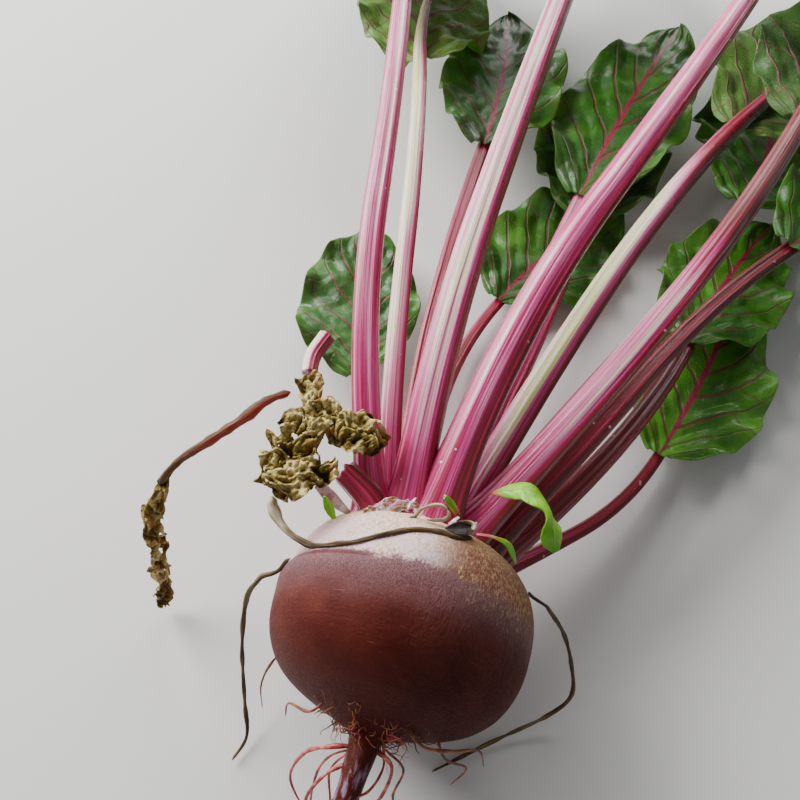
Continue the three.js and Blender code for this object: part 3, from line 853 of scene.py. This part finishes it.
# Strings: the points, widths and tones of each, then its node, the depth and pitch of its two
# strands, and whether its tones keep to its left. A tone below 0 is bleached, and one above 0 is
# rust red.
STRINGS = [
    ("withered_stalk",
     [(14, 23.5, 64.5), (9.4, 20.8, 69.4), (5.3, 20.8, 70.2), (-0.9, 19.3, 71.7), (-6.7, 16.8, 72.6),
      (-12.3, 13.8, 72.4), (-18.1, 11.2, 70.8), (-25, 9.6, 66.6), (-32, 9.6, 60.5), (-38, 12, 59.5),
      (-42, 15.5, 60.5), (-44, 19, 62)],
     (1.1, 1.3, 1.5, 1.2, 1.3, 1.2, 1.4, 1.3, 1.5, 2, 2.6, 3.4),
     (0, 0, -0.1, 0, -0.1, 0.1, -0.1, 0, 0, -0.4, -0.8, -1), "withered_stalk", 0.16),
    ("left_dry_string",
     [(-37, 6, 53), (-43, -1, 44), (-46, -6, 36), (-45, -17, 24), (-41, -31, 10), (-38, -40, 3),
      (-40, -48, 2)],
     (0.9, 1.6, 1.5, 1.2, 1.1, 1.3, 0.8), (0, -0.3, 0, 0.1, 0), "left_dry_string", 0.16),
    ("right_dry_string",
     [(35, 18, 47), (41, 16, 38), (47, 13, 29), (52, 7, 20), (55, 0, 11), (50, -7, 5), (37, -18, 2),
      (20, -33, 1.5)],
     (0.9, 1.3, 1.1, 1.4, 1.1, 1.3, 0.7), (0, 0.1, -0.3, 0), "right_dry_string", 0.16),
    ("crown_curl", [(-5, 23, 67.6), (-2, 25.5, 68.5), (0.5, 27.2, 69), (3, 28, 68.8), (5, 27.4, 68)],
     (0.8, 1.1, 1, 1.2, 0.8), (-0.7, -0.8), "crown_curl", 0.16),
    ("dead_stalk",
     [(-50, 51.5, 61), (-56, 46.5, 61), (-61, 40, 59), (-69, 32, 55), (-77, 25, 50), (-82, 18, 44)],
     (2.4, 3, 3.1, 3, 2.9, 2), (1, 1, 0.9, 0.4, 0), "dead_stalk", 0, 11, True),
    ("crown_curl_end",
     [(4.6, 27.6, 68.1), (5.6, 26.6, 67.3), (4.8, 25.2, 66.4), (2.6, 24.2, 66.6), (0, 23.4, 67)],
     (1, 1.2, 1, 0.7), (-0.8, -0.5)),
    ("eyelet",
     [(4.6, 21.6, 69.9), (7.2, 20.9, 69.8), (9.4, 20.9, 69.2), (11.6, 22.6, 67.2), (13.2, 25.4, 64.8),
      (12.4, 27, 64.2), (10.6, 26.6, 65), (8.2, 25, 66.6), (6, 22.9, 68.9)],
     (1, 1.2, 1.2, 1.4, 1.5, 1.3, 1.2, 1.1, 0.8), (0, 0, 0, -0.4, -0.8, -0.5, 0, 0, 0), None, 0.16, 7),
]
for name, *shape in STRINGS:
    string_piece(name, DRY_FIBRE, "dry_string", *shape)

# Side roots: the points of each, and its width where it leaves the main root.
SIDE_ROOTS = [
    ([(-3, -36, 41), (-9, -38, 40), (-16, -41, 31), (-19, -48, 19), (-12, -56, 9)], 1.7),
    ([(-2, -40, 41), (-8, -45, 37), (-12, -53, 25), (-5, -60, 13), (-8, -68, 5)], 1.5),
    ([(3, -35, 41), (9, -38, 40), (8, -46, 31), (3, -52, 23), (7, -58, 12)], 1.5),
    ([(9, -27, 47), (16, -31, 45), (24, -29, 38), (31, -26, 30), (34, -29, 21)], 1.4),
    ([(17, -24, 41), (22, -31, 34), (29, -31, 24), (26, -36, 13)], 1.3),
    ([(-31, -12, 24), (-36, -19, 17), (-38, -25, 9), (-36, -31, 4)], 1.2),
    ([(0, -50, 39), (6, -60, 30), (4, -70, 18), (10, -79, 8)], 1.4),
    ([(-12, -26, 46), (-17, -31, 42), (-24, -30, 36), (-25, -33, 27)], 1.3),
]
for i, (places, width) in enumerate(SIDE_ROOTS):
    finish = PINK_ROOTLET if i in (0, 1, 2, 6) else BROWN_ROOTLET
    name = f"side_root_{i + 1}"
    widths = [width * share for share in (0.9, 0.65, 0.75, 0.55, 0.4)] + [0.3]
    string_piece(name, finish, "side_root", places, widths, node=name)


def hair_roots(name, finish, count, nearest, farthest, longest, seed):
    """Fine curly rootlets, between two distances along the root's axis, as one piece."""
    chance = random.Random(seed)
    rows = 12
    bm = bmesh.new()
    bm.loops.layers.uv.new("UVMap")
    for _ in range(count):
        along = chance.uniform(nearest, farthest)
        outward = from_axis(chance.uniform(0, tau))
        at = root_centre + root_axis * along + outward * (root_radius(along) - 0.4)
        heading = (outward * 0.6 - root_axis * chance.uniform(0.2, 1)).normalized()
        step = longest * chance.uniform(0.3, 1) / rows
        half = chance.uniform(0.1, 0.24)
        twirl = chance.uniform(0, 40)
        spine = [at.copy()]
        for k in range(rows):
            here = Vector((k * 0.35, twirl, 0))
            bend = Vector([1.3 * wander(here, 1, side) for side in (1, 2, 3)])
            heading = (heading + bend - Vector((0, 0, 0.05 * k))).normalized()
            at = at + heading * step
            at.z = max(at.z, 0.5)
            spine.append(at.copy())
        frames = frames_along(Line(spine, step), rows)
        for vert in bmesh.ops.create_grid(bm, x_segments=4, y_segments=rows, size=1)["verts"]:
            turn, v = pi * (vert.co.x + 1), (vert.co.y + 1) / 2
            vert.co = round_point(frames[round(v * rows)], turn, half * (1 - 0.8 * v)) * MM
    close_tube(bm)
    finished(bm, name, [finish], None)


hair_roots("orange_hair_roots", BROWN_ROOTLET, 100, -33.5, -28, 10, 4)
hair_roots("pink_hair_roots", PINK_ROOTLET, 26, -34, -30, 14, 9)

# Thin strands that curl round the top of the tail.
TAIL_STRANDS = [
    [(-1.2, -36.1, 42), (-8.3, -39.9, 36), (-11.4, -45.3, 26), (-11.3, -53.7, 14), (-8, -60, 6)],
    [(-4.2, -38.5, 40), (-1.3, -44.5, 41.2), (-3.3, -49.5, 37), (-7.4, -53.9, 28), (-9, -60, 17)],
    [(4.6, -32.2, 36), (6.7, -38.5, 38), (4.9, -45.4, 39.5), (0, -50.1, 41), (-4, -56, 35)],
    [(6, -34, 36), (12, -37, 30), (11, -44, 21), (14, -50, 11), (11, -57, 3)],
    [(-3, -36, 34), (-8, -43, 26), (-6, -52, 17), (-11, -60, 9), (-8, -68, 2)],
]
for i, places in enumerate(TAIL_STRANDS):
    finish = BROWN_ROOTLET if i % 2 else PINK_ROOTLET
    string_piece(f"tail_strand_{i + 1}", finish, "side_root", places, (0.8, 0.7, 0.8, 0.6, 0.25))


def broken_stalk(name, places, from_width, to_width, flush, ragged):
    """A short length of stalk with ribs, and an end that is torn as deep as ragged says."""
    line = placed_line(places)
    along = (line.point(line.length) - line.point(line.length - 2)).normalized()

    def place(spot, u, v):
        turn = tau * u - pi / 2
        ribs = 0.93 + 0.1 * abs(cos(3.5 * turn)) + 0.06 * abs(cos(5.5 * turn + 1))
        half = between(from_width, to_width, v) / 2 * ribs
        torn = smooth(0.7, 1, v) * wander(Vector((cos(turn), sin(turn), 0)) * 3, 1.2, 8)
        return round_point(spot, turn, half) + along * torn * ragged

    def tones(u, v):
        # Partly painted light: paler on the lit left, deeper on the shaded right.
        return between(*flush, smooth(-0.4, 0.6, sin(tau * u)))

    girth = pi * (from_width + to_width) / 20
    frames = frames_along(line, 24)
    bm = grid(frames, 36, place, tones, lambda u, v: (u * girth + 3, v * line.length / 10))
    close_tube(bm)
    finished(bm, f"{name}_piece", [STALK_SKIN], name, levels=1)


broken_stalk("outer_stub", [(-13, 24, 51), (-17, 28, 54), (-22, 31, 56), (-28, 34, 57)], 9.5, 7.5,
             (0.6, 0.76), 1.92)
broken_stalk("snapped_stalk_end", [(-47, 59, 60), (-48, 66, 59), (-46, 74, 59)], 4.6, 5.2,
             (0.12, 0.78), 0.48)


# ---- Young leaves and torn tissue on the crown ----
def shoot_piece(name, places, widths, rolls=(0, 0), tones=(0, 0), fold=-0.15, node=None, thickness=0.5,
                ragged=0.08, rows=36, finish=YOUNG_GREEN):
    """A small leaf or scale along listed points, with its widths, the degrees it leans
    and its tones given at even stations. fold is how far its edges rise, and ragged how uneven
    they are."""
    line = placed_line(places)
    frames = frames_along(line, rows, lambda v: evenly(rolls, v))
    seed = seed_of(name)

    def place(spot, u, v):
        at, right, up = spot
        across = 2 * u - 1
        half = evenly(widths, v) / 2
        half *= 1 + ragged * wander(Vector((across * 2, v * 6, 0)), 1, seed)
        lift = fold * half * across ** 2 + 0.15 * half * wander(at, 3, seed)
        return at + right * (across * half) + up * lift

    bm = grid(frames, max(6, rows // 3), place, lambda u, v: evenly(tones, v))
    finished(bm, f"{name}_piece", [finish], node, levels=1, thickness=thickness)


shoot_piece("young_leaf_large",
            [(15, 40, 56), (19, 41, 59), (24, 42, 61.5), (29, 40, 62), (33, 36, 61), (35, 32, 58),
             (37, 29, 54)],
            (0.7, 3, 5.6, 7, 8.4, 8, 4.4, 6.4, 8.2, 6.8, 1.6), (10, 15, 25, 45, 60, 25, 0),
            (0.9, 0, 0, 0, 0, 0, 0), fold=-0.3, node="young_leaf_large")
shoot_piece("young_leaf_small",
            [(14, 26, 59), (17, 26, 60.5), (20, 26, 60.5), (23, 26, 58.5), (25, 25, 56), (27, 23, 52)],
            (0.7, 0.7, 0.9, 2, 2.4, 1.6, 0.4), (10, 30), (1, 0.9, 0.3, 0, 0, 0), node="young_leaf_small")
shoot_piece("bud_leaf", [(8, 30, 58), (5, 32, 61), (3, 32, 65)], (0.8, 1.6, 2, 1.6, 1.2),
            tones=(1, 0.3, 0, 0), fold=-0.7, node="bud_leaf", thickness=0.8)
shoot_piece("green_bud", [(-25, 18, 61), (-27, 20, 63), (-29, 22, 66)], (1, 2.2, 2.6, 1.8, 0.5),
            fold=-0.6, node="green_bud")
shoot_piece("bud_scale", [(-22, 22, 57), (-27, 24, 58), (-33, 27, 60)], (1.2, 2.6, 3.8, 3.6, 2.8),
            tones=(-1, -0.1, 0, 0, 0), fold=-0.4, node="bud_scale", finish=PALE_TISSUE)
# Painted shadow: a black sheet in the eyelet of string, where there is only shade.
shoot_piece("rotten_hollow", [(6.2, 22.2, 67.6), (9.6, 23.6, 66.4), (12.6, 26, 64)],
            (1, 3.4, 4.4, 4, 2), (20, 10), fold=0.5, thickness=0.3, ragged=0.3, finish=PAINTED_SHADOW)

# Pale scales where the stalks leave the crown: foot, tip, width and the lean of each.
CROWN_SCALES = [
    ((-17, 22, 59), (-14.5, 26, 61), 3.4, 20), ((-13, 24, 60), (-12.5, 27.5, 60.5), 2.4, -35),
    ((-10, 24.5, 61), (-6.5, 29, 62), 3, -50), ((-8, 25.5, 60.5), (-5, 30.5, 61.5), 2.4, 55),
    ((6, 26, 60), (8, 29, 60.5), 1.8, 30), ((11, 26, 58), (13.5, 29.5, 58), 2, -20),
]
for i, (foot, tip, width, lean) in enumerate(CROWN_SCALES):
    foot, tip = Vector(foot), Vector(tip)
    bulge = foot.lerp(tip, 0.5) + Vector((0, 0, 0.8))
    widths = [width * share for share in (0.8, 1, 0.8, 0.4)]
    shoot_piece(f"crown_scale_{i + 1}", [foot, bulge, tip], widths, (lean, lean * 1.6),
                (0.8, 0.4, 0.1, -0.3), fold=-0.6, thickness=0.3, ragged=0.7, finish=PALE_TISSUE)


def leaf_scars(ring, radius, count, longest):
    """Short dry scales round the crown, where older leaves have rotted away."""
    chance = random.Random(20 + ring)
    for i in range(count):
        outward = from_axis(tau * (i + chance.uniform(-0.3, 0.3)) / count)
        across = root_axis.cross(outward)
        reach = radius * chance.uniform(0.88, 1.06)
        along = 26 + 3 * smooth(20, 0, reach) - 2.4 * smooth(19, 22, reach)
        foot = root_centre + root_axis * (along - 0.6) + outward * reach
        tip = foot + root_axis * longest * chance.uniform(0.4, 1) + outward * chance.uniform(-1.5, 1.5)
        tip += across * chance.uniform(-2, 2)
        width = chance.uniform(2.2, 4.6)
        finish = chance.choice([WITHERED_TISSUE, WITHERED_TISSUE, PALE_TISSUE])
        widths = (width, width * 0.9, width * 0.5, 0.5)
        shoot_piece(f"leaf_scar_{ring}_{i + 1:02d}", [foot, foot.lerp(tip, 0.5), tip], widths,
                    (chance.uniform(-60, 60),) * 2, (0, -0.2, 0.6), thickness=0.35, ragged=0.4,
                    rows=12, finish=finish)


leaf_scars(1, 20.5, 30, 4)
leaf_scars(2, 15, 20, 3.5)
leaf_scars(3, 8, 10, 4)


def glint_beads(leaf, beads):
    """White beads of painted highlight on a stalk: how far up it each is, its turn round the stalk, its
    radius.
    """
    line = leaf_line(leaf)
    bm = bmesh.new()
    for s, turn, radius in beads:
        half = stalk_width(leaf, s) / 2
        middle = round_point(line.frame(s), radians(turn), half, half * STALK_HEIGHT)
        bead = Matrix.Translation(middle * MM)
        bmesh.ops.create_icosphere(bm, subdivisions=3, radius=radius * MM, matrix=bead)
    finished(bm, "glint_beads", [PAINTED_GLINT], None)


# They are on the thickest stalk.
glint_beads(LEAVES[4], [(14, 112, 0.5), (20, 128, 0.6), (25, 102, 0.5), (33, 116, 0.45), (64, 130, 0.35),
                       (97, 110, 0.4)])


# ---- Withered leaves ----
def ridged(place, scale, seed):
    """Noise with sharp creases, from -1 to 1."""
    return 1 - 2 * min(1, 2 * abs(wander(place, scale, seed)))


def crumpled_piece(name, places, widths, depth, seed, node=None, roll=0, coarse=0.8,
                   finish=WITHERED_TISSUE):
    """A strip of a leaf that has dried into sharp folds of the depth given, with a ragged edge
    and holes."""
    line = placed_line(places)
    rows = max(40, ceil(line.length * 2.6))
    frames = frames_along(line, rows, lambda v: roll)

    def flat_place(u, v):
        """Where a corner is on the leaf before it dried: across it and along it."""
        across = 2 * u - 1
        edge = Vector((copysign(1, across) * 2, v * line.length, 0))
        half = evenly(widths, v) / 2
        half *= 1 + abs(across) * (0.5 * wander(edge, 7, seed) + 0.35 * wander(edge, 2.2, seed + 1))
        return Vector((across * half, v * line.length, 0))

    def fold(flat):
        sharp = 0.7 * ridged(flat, 4.2 * coarse, seed + 3) + 0.42 * ridged(flat, 1.9 * coarse, seed + 4)
        return 0.8 * ridged(flat, 11 * coarse, seed + 2) + sharp

    def place(spot, u, v):
        at, right, up = spot
        flat = flat_place(u, v)
        slide = Vector((wander(flat, 5, seed + 5), wander(flat, 5, seed + 6), wander(flat, 4, seed + 7)))
        fine = 0.35 * depth * wander(flat, 1.3 * coarse, seed + 11)
        moved = at + right * (flat.x * 0.86) + up * (fold(flat) * depth + fine) + slide * depth * 1.1
        moved.z = max(moved.z, 0.6)
        return moved

    across_count = max(20, ceil(max(widths) * 2.8))
    # The tone is how deep each point lies in the folds; the withered finish turns it into painted light on
    # the crests and painted shade in the hollows.
    bm = grid(frames, across_count, place, lambda u, v: -fold(flat_place(u, v)))
    torn = [face for face in bm.faces if wander(face.calc_center_median() / MM, 3, seed + 9) > 0.5]
    bmesh.ops.delete(bm, geom=torn, context="FACES")
    finished(bm, f"{name}_piece", [finish], node, levels=1, thickness=0.4)


crumpled_piece("withered_leaf",
               [(-46, 57, 61), (-43, 50, 63), (-41, 43, 64), (-41, 35, 65), (-43, 27, 64), (-46, 21, 61)],
               (6, 7, 11, 16, 19, 20, 12), 1.9, 3, "withered_leaf")
crumpled_piece("withered_lobe_right",
               [(-42, 44, 65), (-36, 44, 66), (-29, 43, 66), (-22, 43, 65), (-18, 43, 63)],
               (9, 14, 13, 11, 6), 1.9, 14)
crumpled_piece("withered_lobe_low",
               [(-47, 25, 63), (-41, 25, 65), (-34, 28, 65), (-28, 32, 64)],
               (10, 14, 13, 8), 1.8, 25)
crumpled_piece("dead_shred",
               [(-80.5, 20.5, 46), (-83, 10, 36), (-81, 3, 26), (-79, -4, 14), (-77, -10, 4)],
               (4, 7, 9, 6, 8, 4), 1.3, 36, "dead_shred", roll=30)
crumpled_piece("torn_tissue", [(-18, 22, 60), (-13, 24.5, 61), (-8, 26.5, 61.5), (-3, 27, 62)],
               (3, 5, 6, 5, 3), 0.9, 52, coarse=0.4, finish=PALE_TISSUE)


# ---- Floor, light and camera: in metres ----
LIT_PLACE = Vector((0, 0.08, 0.03))
FLOOR_DROP = 0.0002  # keeps the floor clear of the faces that rest on it


def pale_floor():
    bm = bmesh.new()
    bmesh.ops.create_grid(bm, x_segments=1, y_segments=1, size=2)
    mesh = bpy.data.meshes.new("floor")
    bmesh.ops.translate(bm, verts=bm.verts, vec=(0, 0, -FLOOR_DROP))
    bm.to_mesh(mesh)
    bm.free()
    paint = Finish("pale_floor", 0.2, Roughness=0.7)
    paint.shader.inputs["Base Color"].default_value = (0.78, 0.77, 0.75, 1)
    mesh.materials.append(paint.material)
    put_in_scene("floor", mesh)


def soft_light(name, place, size, power):
    light = bpy.data.lights.new(name, "AREA")
    light.size = size
    light.energy = power
    lamp = put_in_scene(name, light)
    lamp.location = place
    lamp.rotation_euler = (LIT_PLACE - Vector(place)).to_track_quat("-Z", "Y").to_euler()


def camera_at(place, azimuth, elevation, field):
    lens = bpy.data.cameras.new("camera")
    lens.angle = radians(field)
    lens.clip_start = 0.01
    camera = put_in_scene("camera", lens)
    camera.location = place
    camera.rotation_euler = (radians(90 - elevation), 0, radians(azimuth))
    bpy.context.scene.camera = camera


pale_floor()
soft_light("window", (-0.95, 0.5, 0.62), 0.8, 34)
soft_light("back_window", (-0.15, 1.25, 0.6), 0.8, 16)
soft_light("room", (0.6, -0.6, 1), 1.4, 1.5)
world = bpy.data.worlds.new("room_air")
world.use_nodes = True
world.node_tree.nodes["Background"].inputs[0].default_value = (0.95, 0.97, 1, 1)
world.node_tree.nodes["Background"].inputs[1].default_value = 0.18
bpy.context.scene.world = world
camera_at((0.0171, -0.0569, 0.3198), 17, 65, 45)
